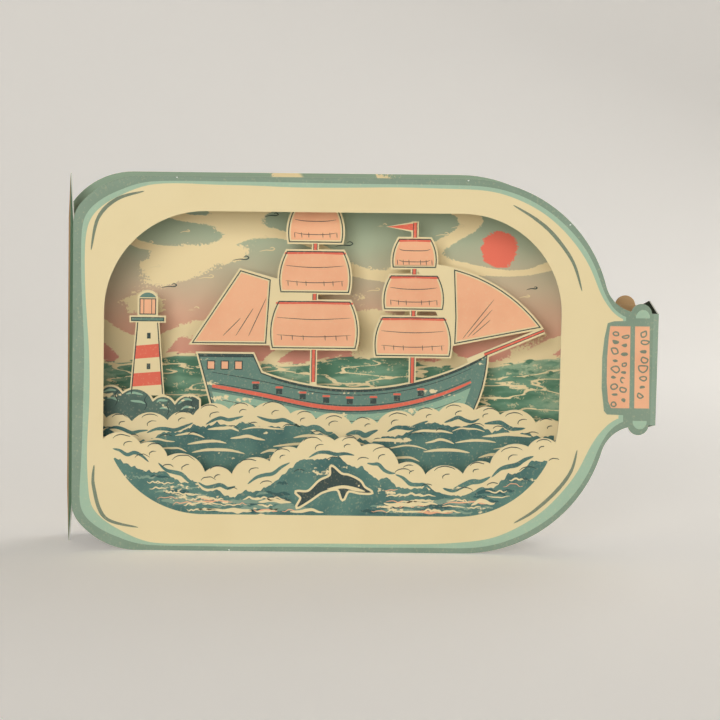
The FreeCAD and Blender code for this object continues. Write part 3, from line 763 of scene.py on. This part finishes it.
def shipHull():
    stern = ship["stern"]
    bow = ship["bow"]
    keel = ship["keel"]
    length = bow - stern
    poop = (stern + length * 0.2, ship["sternRail"])
    waist = (stern + length * 0.23, ship["waistRail"])
    stemHead = (bow, ship["bowRail"])
    stemFoot = (bow - length * 0.16, keel)
    sheer = arcBetween(waist, stemHead, length * 0.9, "right", 26) + [stemHead]
    stem = arcBetween(stemHead, stemFoot, length * 0.5, "left", 10)
    outline = [(stern, ship["sternRail"]), poop] + sheer + stem[1:] + [stemFoot]
    outline += [(stern + length * 0.1, keel)]
    onShip("hull_paint", [inset(outline, ship["border"])], 1, "hullTeal")

    def sheerAt(x, drop):
        # Planks follow the rail, and aft of the waist they run on in a softer curve.
        aft = max(ship["waistRun"] - x, 0)
        return edgeHeight(sheer, max(x, ship["waistRun"])) + aft * (0.218 - 0.0012 * aft) - drop

    stations = [stern + 2.2 + (length - 4.6) * step / 28 for step in range(29)]

    def plank(drop, trimLeft, trimRight):
        return [(x, sheerAt(x, drop)) for x in stations
                if stern + 1.6 + trimLeft < x < bow - 1.6 - trimRight]

    lower = plank(8.4, 2.4, 3.4)
    lower += [(bow - 7.2, -13.0), (bow - 15.6, keel + 0.8), (stern + 9.8, keel + 0.8)]
    onShip("hull_lower_paint", [lower], 2, "hullMint")
    drop, width = ship["stripe"]
    onShip("hull_stripe", [brushLine(plank(drop, 1.2, 1.9), width, 0.8, 0.5, 2)], 4, "coral")
    lines = [ringOf(outline)]
    for drop, width in ship["planks"]:
        trim = 1.2 if drop < 9 else 4.5
        lines.append(brushLine(plank(drop, trim, trim + 1.2), width, 0.7, 0.5, 2))
    lines.append(brushLine([(x, z - 0.95) for x, z in sheer[1:-1]], 0.85, 0.8, 0.8, 2))
    sternLine = [(stern + 1.0, poop[1] - 1.3), (poop[0], poop[1] - 1.3)]
    lines.append(brushLine(sternLine, 0.7, 0.8, 0.8))
    ports = []
    lids = []
    for x in evenly(*ship["ports"]):
        z = sheerAt(x, ship["portDrop"])
        ports.append(box(x - 0.95, z - 0.85, x + 0.95, z + 0.85))
        lids.append([(x - 1.25, z + 1.0), (x + 1.25, z + 1.0), (x + 1.1, z + 1.6), (x - 1.1, z + 1.6)])
    onShip("gun_port_lids", lids, 4, "coral")
    panes = [box(x, -3.1, x + 2.6, -0.2) for x in evenly(*ship["windows"])]
    onShip("stern_windows", panes, 3, "peach")
    lines += [[pane, inset(pane, 0.3)] for pane in panes]
    onShip("hull_lines", lines + ports, 5, "slate")
    print("hull printed")


def sailOutline(mast, mastTop, lowest, number):
    footShare, headShare = ship["sails"][number]
    rig = mastTop - ship["deck"]
    foot = ship["deck"] + rig * footShare
    head = ship["deck"] + rig * headShare
    wide = lowest - number * ship["sailStep"]
    halfFoot = wide / 2
    halfHead = (wide - ship["sailTaper"]) / 2
    belly = (head - foot) * 1.3
    left = arcBetween((mast - halfFoot, foot), (mast - halfHead, head), belly, "left", 10)
    right = arcBetween((mast + halfHead, head), (mast + halfFoot, foot), belly, "left", 10)
    return left + [(mast - halfHead, head)] + right + [(mast + halfFoot, foot)]


def foreAndAftSails():
    deck = ship["deck"]
    tip = ship["tip"]
    mainMast, mainTop, _ = ship["main"]
    foreMast, foreTop, foreWidth = ship["fore"]
    tack = (tip[0], tip[1] + ship["spar"] / 4)
    head = (foreMast, deck + (foreTop - deck) * 0.76)
    luff = arcBetween(head, tack, dist(head, tack) * 1.1, "left", 16)
    jib = [(foreMast + foreWidth / 2 + 0.4, ship["bowRail"] + 1.6), (28.6, 14.0)]
    jib += [point for point in luff if point[0] > 26.5] + [tack]
    boom = ship["sternRail"] + ship["spar"]
    spanker = [(ship["stern"] - ship["spar"], boom),
               ((mainMast + ship["stern"]) / 2 - 5, deck + (mainTop - deck) * 0.6),
               (-28.2, deck + (mainTop - deck) * 0.552), (-29.4, boom)]
    return jib, spanker


def shipSails():
    square = [(sailOutline(mast, top, lowest, number), mast)
              for mast, top, lowest in (ship["main"], ship["fore"]) for number in range(3)]
    jib, spanker = foreAndAftSails()
    cloths = [inset(outline, 1.35) for outline, _ in square] + [inset(jib, 1.3), inset(spanker, 1.3)]
    lines = [ringOf(outline) for outline, _ in square] + [ringOf(jib), ringOf(spanker)]
    onShip("sail_cloth", cloths, 1, "peach")
    yards = []
    for outline, mast in square:
        heights = [z for _, z in outline]
        foot = min(heights)
        rise = max(heights) - foot
        half = max(x for x, _ in outline) - mast
        for share in (0.32, 0.66):
            z = foot + rise * share
            seam = [(mast - half + 2.6, z - 0.3), (mast - 3.0, z - 0.8), (mast + 3.0, z - 0.8),
                    (mast + half - 2.6, z - 0.3)]
            lines.append(brushLine(seam, 0.2, 0.3, 0.1))
        z = foot + rise * 0.3
        for tick in (-3, -2, -1, 1, 2, 3):
            x = mast + tick * half * 0.24
            lines.append(brushLine([(x, z), (x + 0.15, z - 1.7)], 0.2, 0.5, 0.2, 3))
        reach = half - 2.2
        head = max(heights) - 1.25
        yard = [(mast - reach, head), (mast, head + 0.3), (mast + reach, head)]
        yards.append(brushLine(yard, 0.95, 0.55, 0.55))
    for share in (0.3, 0.55, 0.8):
        start = (jib[0][0] + 1.4 + 6 * share, jib[0][1] + 1.8 + share * 2)
        finish = (start[0] + 4.0 + 8 * (1 - share), start[1] + 15 * (1 - share) + 2.0)
        lines.append(brushLine([start, finish], 0.2, 0.3, 0.1))
    for share in (0.25, 0.5, 0.75):
        x = -47.5 + 16 * share
        lines.append(brushLine([(x, 7.6), (x + 5.5, 10 + 13 * share)], 0.2, 0.3, 0.1))
    onShip("yards", yards, 3, "coral")
    onShip("sail_lines", lines, 4, "slate")
    print("sails printed:", len(cloths))


def shipSpars():
    poles = []
    lines = []
    deck = ship["deck"]
    half = ship["spar"] / 2 - ship["border"]
    for mast, top, _ in (ship["main"], ship["fore"]):
        # A mast shows below, between and above its sails
        sailEnds = [deck + (top - deck) * share for sail in ship["sails"] for share in sail]
        ends = [deck + 3.0] + sailEnds + [top - ship["border"]]
        for low, high in zip(ends[::2], ends[1::2]):
            low -= 0.2
            high += 0.2
            poles.append(box(mast - half, low, mast + half, high))
            for x in (mast - half, mast + half):
                lines.append(brushLine([(x, low), (x, high)], 0.22, 0.9, 0.9, 2))
    tip = ship["tip"]
    root = (ship["bow"] - 1.5, ship["bowRail"] - 1.0)
    poles.append(brushLine([root, tip], 1.0, 0.95, 0.7, 4))
    for side in (-0.5, 0.5):
        edge = [(root[0], root[1] + side), (tip[0], tip[1] + side * 0.8)]
        lines.append(brushLine(edge, 0.2, 0.9, 0.9, 4))
    long, tall = ship["pennant"]
    mast, top, _ = ship["fore"]
    flag = [(mast, top - tall), (mast, top), (mast - long, top - tall / 2)]
    onShip("pennant", [inset(flag, 0.5)], 2, "coral")
    onShip("spars", poles, 3, "coral")
    onShip("spar_lines", lines, 5, "slate")


lighthouse = {
    "place": -67.1, "foot": -11.5, "footWidth": 11.0, "neck": 11.5, "neckWidth": 7.4,
    "gallery": 11.4, "galleryHeight": 2.2, "lantern": 6.4, "lanternHeight": 6.0,
    "bands": ((0.12, 0.3), (0.5, 0.68)), "bandRise": 0.7,   # shares of the tower, and the bands' slant
}


def headland():
    # Rocks, with brushed lights. Their cracks are printed with the lighthouse's lines.
    edge = foamEdge(rockCut)
    crag = edge + [(rockCut["east"], -22.0), (rockCut["west"], -22.0)]
    onShip("rocks", [inset(crag, 0.6)], 1, "rock")
    facets = []
    cracks = []
    draw = random.Random(8)
    cusps = foamCusps(rockCut)
    for start, finish in zip(cusps, cusps[1:]):
        wide = finish[0] - start[0]
        for depth in (0.1, 2.6):
            facet = []
            for share in (0.12, 0.3, 0.5, 0.66):
                x = start[0] + wide * (share + draw.uniform(-0.03, 0.03)) + depth * 0.4
                facet.append((x, edgeHeight(edge, x) - 1.3 - depth - draw.uniform(0, 0.5)))
            facets.append(brushLine(facet, 0.75, 0.02, 0.02))
        x = start[0] + wide * draw.uniform(0.7, 0.85)
        z = edgeHeight(edge, x)
        crack = [(x, z - 1.0), (x - 0.9, z - 2.6), (x - 0.2, z - 4.2), (x - 1.0, z - 6.0)]
        cracks.append(brushLine(crack, 0.34, 0.3, 0.1, 4))
    onShip("rock_lights", facets, 2, "hullMint")
    return cracks


def lighthouseOnRocks():
    cracks = headland()
    place = lighthouse["place"]
    foot = lighthouse["foot"]
    neck = lighthouse["neck"]
    rise = neck - foot

    def wall(side, share, margin, lift=0.0):
        # A point just inside the tower's wall, at a share of its height.
        wide = lighthouse["footWidth"] + (lighthouse["neckWidth"] - lighthouse["footWidth"]) * share
        return (place + side * (wide / 2 - margin), foot + rise * share + lift)

    slant = lighthouse["bandRise"]
    bands = [[wall(-1, low, 0.7), wall(1, low, 0.7, slant), wall(1, high, 0.7, slant), wall(-1, high, 0.7)]
             for low, high in lighthouse["bands"]]
    onShip("tower_bands", bands, 2, "coral")
    galleryTop = neck + lighthouse["galleryHeight"]
    top = galleryTop + lighthouse["lanternHeight"]
    wide = lighthouse["gallery"] / 2 - 0.5
    narrow = lighthouse["lantern"] / 2 - 0.6
    gallery = box(place - wide, neck + 0.4, place + wide, galleryTop - 0.5)
    glow = box(place - narrow, galleryTop + 0.3, place + narrow, top - 0.6)
    eaves = [(place - narrow, top - 0.3), (place + narrow, top - 0.3)]
    dome = arcBetween(eaves[0], eaves[1], narrow * 1.15, "left", 12) + eaves[1:]
    onShip("lantern_glow", [glow], 2, "peach")
    onShip("dome_and_gallery", [dome, gallery], 2, "hullTeal")
    lines = [[glow, inset(glow, 0.3)], [gallery, inset(gallery, 0.25)]]
    for side in (-1, 1):
        lines.append(brushLine([wall(side, 0, 0.6, 0.5), wall(side, 1, 0.6)], 0.34, 0.9, 0.9, 4))
    for bar in (-0.33, 0.33):
        x = place + narrow * 2 * bar / 1.4
        lines.append(brushLine([(x, galleryTop + 0.4), (x, top - 0.7)], 0.2, 0.9, 0.9, 3))
    for share in (0.4, 0.82):
        z = foot + rise * share
        lines.append(box(place - 0.15, z - 0.9, place + 0.95, z + 0.9))
    onShip("lighthouse_lines", lines + cracks, 4, "slate")
    print("lighthouse printed")


surfInk = {
    "foamDepth": 3.6, "roll": 0.8, "scallop": 1.5, "strip": 3.0, "seed": 21,
    "rows": 3, "first": 6.6, "pitch": 3.4,     # crests, and how far below the swell they lie
}


def surfPrint():
    edge = foamEdge(surfCut)
    draw = random.Random(surfInk["seed"])
    water = foamFoot(surfCut, surfInk, -88.0, 61.5) + [(61.0, -38.0), (-88.0, -38.0)]
    onShip("surf_foam", [edge[1:-1] + [(61.5, -26.0), (-89.5, -26.0)]], 6, "cream")
    onShip("surf_water", [water], 7, "water")
    crests = []
    for row in range(surfInk["rows"]):
        for x, length in courses(-86 + draw.uniform(0, 6), 50, (9, 17), (0.9, 1.3), draw):
            z = swellHeight(surfCut, x + length / 2) - surfInk["first"] - row * surfInk["pitch"]
            run = wavering(x, z, length, 0.9, 4, 0.3, draw)
            crests.append(brushLine(run, draw.uniform(0.5, 1.1), 0.02, 0.02))
    onShip("surf_crests", crests, 8, "cream")
    foamStrips("surf_strips", surfCut, surfInk, 31, onShip, 7)
    foamCurls("surf_curls", surfCut, 17, onShip, 8)
    print("surf printed:", len(crests), "crests")


# Gusts of wind over the far sky
wind = {
    "seed": 12,
    "places": ((-70, -34, 12, 47), (51, 57, 13, 25), (-5, 7, 18, 44), (-32, -24, 30, 46), (26, 36, 36, 48)),
    "counts": (10, 3, 4, 3, 3), "sizes": (1.2, 2.3), "width": 0.36,
    # A gust's course: shares of its size along and up, and millimetres up
    "curl": ((-1.5, 0, -0.2), (-0.4, 0, 0.25), (0.6, 0, 0.2), (1, 0.35, 0), (0.6, 0.6, 0), (0.2, 0.4, 0)),
}


def windMarks():
    draw = random.Random(wind["seed"])
    gusts = {"cream": [], "slate": []}
    for (west, east, low, high), count in zip(wind["places"], wind["counts"]):
        for number in range(count):
            x = draw.uniform(west, east)
            z = low + (high - low) * (number + draw.uniform(0.2, 0.8)) / count
            size = draw.uniform(*wind["sizes"])
            curl = [(x + size * along, z + size * up + lift) for along, up, lift in wind["curl"]]
            inkName = "slate" if number % 3 == 2 else "cream"
            gusts[inkName].append(brushLine(curl, wind["width"], 0.1, 0.1, 5))
    for inkName, marks in gusts.items():
        onBack("wind_" + inkName, marks, 2, inkName)
    print("wind printed:", sum(len(marks) for marks in gusts.values()), "gusts")


# Board materials of the three sheets
folds = {
    # Metres along X past which a face that is turned aside belongs to a gusset, left and right
    "outer": (-0.0886, 0.0911), "inner": (-0.0880, 0.0905), "turned": 0.7,
    "flat": 0.97,           # how square the sheet's own faces look to the front or back
    "lobe": 0.0894,         # past this, the flap at the neck has the colour of the back panel's neck: cream with painted shade and warm reflected light, a tan
}


def frontBoard():
    graph = Graph("front_board")
    x, y, _ = graph.parts(graph.place())
    across, through, _ = graph.facing()
    fleck = graph.soft(graph.grain(1300, 2.0), 0.6, 0.8)
    cream = graph.blend(fleck * 0.12, graph.creamBoard(45, 0.35), "cloud")
    facesLeft = across < -folds["turned"]
    facesRight = across > folds["turned"]
    isOuter = facesLeft * (x < folds["outer"][0]) + facesRight * (x > folds["outer"][1])
    isInner = facesRight * (x < folds["inner"][0]) + facesLeft * (x > folds["inner"][1])
    # Outer faces of the gussets: sage on the front half; the rear half is cream with painted shade and warm
    # reflected light, which makes it tan
    outer = graph.blend(y > 0.0, "gussetFront", "gussetRearShaded")
    gusset = graph.blend(isInner, outer, "inside")
    isFlat = (through * through) > folds["flat"]
    # Flat faces toward the back: past the neck line, the tan of cream with painted shade; elsewhere the
    # dark inside colour
    flap = graph.blend(x > folds["lobe"], "lobe", "inside")
    board = graph.blend((y > 0.0) * isFlat, graph.blend(isFlat, "cutEdge", cream), flap)
    return graph.finish(graph.blend(isOuter + isInner, board, gusset))


def shipBoard():
    graph = Graph("ship_board")
    through = graph.facing()[1]
    isFlat = (through * through) > 0.5
    return graph.finish(graph.blend(isFlat, "cutEdge", graph.creamBoard(55, 0.4)))


backPicture = {
    "skyTop": 0.112, "skyFoot": 0.056,      # heights of the sky's ramp, metres above the table
    "cloudHeights": (0.086, 0.060), "edgeHeights": (0.1120, 0.1130),
    "horizon": 0.0565, "sun": (0.0455, 0.0925), "sunRadius": 0.0058, "dryEdge": 0.0003,
    "lobe": 0.0805,         # the neck's plain colour starts here: cream with painted shade and warm reflected light, a tan
}


def backBoard():
    graph = Graph("back_board")
    x, _, z = graph.parts(graph.place())
    through = graph.facing()[1]
    # Sky: a wash that goes from green to pink
    wash = (z - backPicture["skyFoot"]) / (backPicture["skyTop"] - backPicture["skyFoot"])
    wash = wash + (graph.grain(38, 3.0) - 0.5) * 0.22
    sky = graph.ramp(wash, ((0.0, "skyPink"), (0.2, "skyLow"), (0.42, "skyMiddle"), (0.68, "skyHigh"),
                            (0.95, "skyTop")))
    # Clouds: cream drifts, and ribbons along a contour of a second field, with dry edges
    bristle = graph.grain((260, 260, 620), 3.0, 0.6)
    ragged = bristle - 0.5
    fine = graph.grain(1500, 1.0) - 0.5
    edge = ragged * 0.5 + fine * 0.4
    low = graph.soft(z, *backPicture["cloudHeights"])
    drift = graph.grain((22, 22, 50), 2.0, 0.4)
    cloud = graph.soft(drift + low * 0.05 + edge * 0.16, 0.575, 0.59)
    course = graph.grain((17, 17, 34), 1.0, 0.3) - 0.5
    ribbon = graph.soft(course * course + edge * 0.0012, 0.00058, 0.00044)
    cover = graph.maths("MAXIMUM", cloud, ribbon)
    nearTop = graph.soft(z, *backPicture["edgeHeights"])
    broken = graph.soft(graph.grain(75, 1.0) - nearTop * 0.3, 0.17, 0.2)
    sky = graph.blend(cover * broken, sky, "cloud")
    # Sun: a disc with a dry edge
    across = x - backPicture["sun"][0]
    upward = z - backPicture["sun"][1]
    distance = graph.maths("SQRT", across * across + upward * upward)
    rough = distance + ragged * 0.0032 + fine * 0.0016
    radius = backPicture["sunRadius"]
    dry = backPicture["dryEdge"]
    sky = graph.blend(graph.soft(rough, radius + dry, radius - dry), sky, "sun")
    # Sea: far swells in three greens with pale crests
    swell = graph.maths("SINE", x * 105.0 + 0.8)
    chop = graph.grain((60, 60, 230), 4.0, 0.55)
    line = backPicture["horizon"] + swell * 0.0016 + (graph.grain(60, 2.0) - 0.5) * 0.003
    sea = graph.blend(graph.soft(chop, 0.42, 0.62), "seaDark", "seaFar")
    light = graph.soft(graph.grain((34, 34, 90), 3.0), 0.46, 0.62)
    sea = graph.blend(light * graph.soft(bristle, 0.36, 0.5) * 0.8, sea, "seaPale")
    spray = graph.soft(bristle + fine * 0.5, 0.6, 0.66)
    sea = graph.blend(spray * 0.5, sea, "cloud")
    ripple = graph.grain((48, 48, 260), 2.0, 0.4) - 0.5
    crest = graph.soft(ripple * ripple + fine * 0.0006, 0.0006, 0.0003)
    sea = graph.blend(crest * graph.soft(bristle, 0.38, 0.46), sea, "cloud")
    above = z - line
    picture = graph.blend(graph.soft(above, 0.00012, -0.00012), sky, sea)
    # Foam line where the sea meets the sky
    foam = graph.soft(above * above, 0.0000009, 0.0000002)
    picture = graph.blend(foam * graph.soft(bristle, 0.42, 0.5), picture, "cloud")
    # Past the neck line the picture gives way to one tan: cream board with painted shade and warm reflected
    # light
    picture = graph.blend(x > backPicture["lobe"], picture, "lobe")
    isPrinted = through < -0.7
    isReverse = through > 0.7
    board = graph.blend(isReverse, "cutEdge", graph.creamBoard(45, 0.3))
    return graph.finish(graph.blend(isPrinted, board, picture))


def dressSheets():
    boards = {"front_sheet": frontBoard(), "ship_layer": shipBoard(), "back_panel": backBoard()}
    for name, material in boards.items():
        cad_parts[name].material_slots[0].material = material
    print("sheets dressed:", sorted(boards))


# Stage, light and camera
stage = {
    "floorSize": 5.0, "backdropPlace": 1.1, "coveRadius": 0.55, "tone": ink(232, 229, 223),
    "glow": ink(150, 147, 143), "worldStrength": 0.6,
    "lamps": {
        # Power, size, place
        "key_light": (10.9, 0.5, (-0.32, -1.3, 0.34)),
        "fill_light": (4.15, 0.6, (0.3, -1.3, 0.2)),
        "back_light": (1.7, 0.5, (0.4, 0.5, 0.5)),
    },
    "aim": (0, 0, 0.06),    # the middle of the card
}


def setPaper():
    # Floor and backdrop in one sheet of paper, with a cove where it turns up
    clearSelection()
    bpy.ops.mesh.primitive_plane_add(size=stage["floorSize"], location=(0, 0, 0))
    floor = bpy.context.active_object
    floor.name = "floor"
    turn = stage["backdropPlace"]

    def selectEdges(test):
        for edge in floor.data.edges:
            edge.select = all(test(floor.data.vertices[index].co) for index in edge.vertices)

    for vertex in floor.data.vertices:
        if vertex.co.y > 0:
            vertex.co.y = turn
            vertex.select = True
    selectEdges(lambda place: place.y > 0)
    for face in floor.data.polygons:
        face.select = False
    bpy.ops.object.mode_set(mode="EDIT")
    bpy.ops.mesh.select_mode(type="EDGE")
    bpy.ops.mesh.extrude_region_move(TRANSFORM_OT_translate={"value": (0, 0, stage["floorSize"] / 2)})
    bpy.ops.object.mode_set(mode="OBJECT")
    selectEdges(lambda place: abs(place.y - turn) < 0.001 and abs(place.z) < 0.001)
    bpy.ops.object.mode_set(mode="EDIT")
    bpy.ops.mesh.bevel(offset=stage["coveRadius"], segments=16)
    bpy.ops.object.mode_set(mode="OBJECT")
    bpy.ops.object.shade_smooth()
    paper = Graph("paper_roll")
    inputs = paper.shader.inputs
    inputs["Base Color"].default_value = stage["tone"]
    inputs["Roughness"].default_value = 0.9
    # What the camera, mirrors and glass see of it is lifted, so the lamps stay at a plain level
    seen = [paper.node("ShaderNodeLightPath", output=ray) for ray in (0, 3, 6)]
    lifted = paper.blend(seen[0] + seen[1] + seen[2], (0.0, 0.0, 0.0, 1.0), stage["glow"])
    paper.feed(inputs["Emission Color"], lifted)
    inputs["Emission Strength"].default_value = 1.0
    floor.data.materials.append(paper.material)
    print("paper laid")


def setLights():
    world = bpy.data.worlds.new("studio")
    bpy.context.scene.world = world
    world.use_nodes = True
    background = world.node_tree.nodes["Background"]
    background.inputs["Color"].default_value = (1.0, 0.99, 0.97, 1.0)
    background.inputs["Strength"].default_value = stage["worldStrength"]
    for name, (power, size, place) in stage["lamps"].items():
        clearSelection()
        bpy.ops.object.light_add(type="AREA", location=place)
        lamp = bpy.context.active_object
        lamp.name = name
        lamp.data.energy = power
        lamp.data.size = size
        aim = Vector(stage["aim"]) - lamp.location
        lamp.rotation_euler = aim.to_track_quat("-Z", "Y").to_euler()
    print("lights set")


view = {
    "place": (-0.0578, -0.8125, 0.1506),
    "pitch": -6.52,         # degrees below the horizon
    "roll": 0.62,           # degrees; the card leans a little clockwise
    "lens": 130.4,
    "shift": 0.26,          # the photo is cropped to the right of its middle
}


def setCamera():
    clearSelection()
    bpy.ops.object.camera_add(location=view["place"])
    camera = bpy.context.active_object
    camera.name = "camera"
    camera.data.lens = view["lens"]
    camera.data.sensor_width = 36.0
    camera.data.shift_x = view["shift"]
    camera.data.clip_start = 0.01
    tilt = Matrix.Rotation(radians(90 + view["pitch"]), 3, "X")
    camera.rotation_euler = (tilt @ Matrix.Rotation(radians(view["roll"]), 3, "Z")).to_euler()
    bpy.context.scene.camera = camera
    bpy.context.scene.view_settings.view_transform = "Standard"
    print("camera set")


dressSheets()
frontBands()
glassHighlights()
corkLabel()
foregroundSea()
leapingDolphin()
dieNibs()
shipHull()
shipSpars()
shipSails()
lighthouseOnRocks()
surfPrint()
windMarks()
setPaper()
setLights()
setCamera()
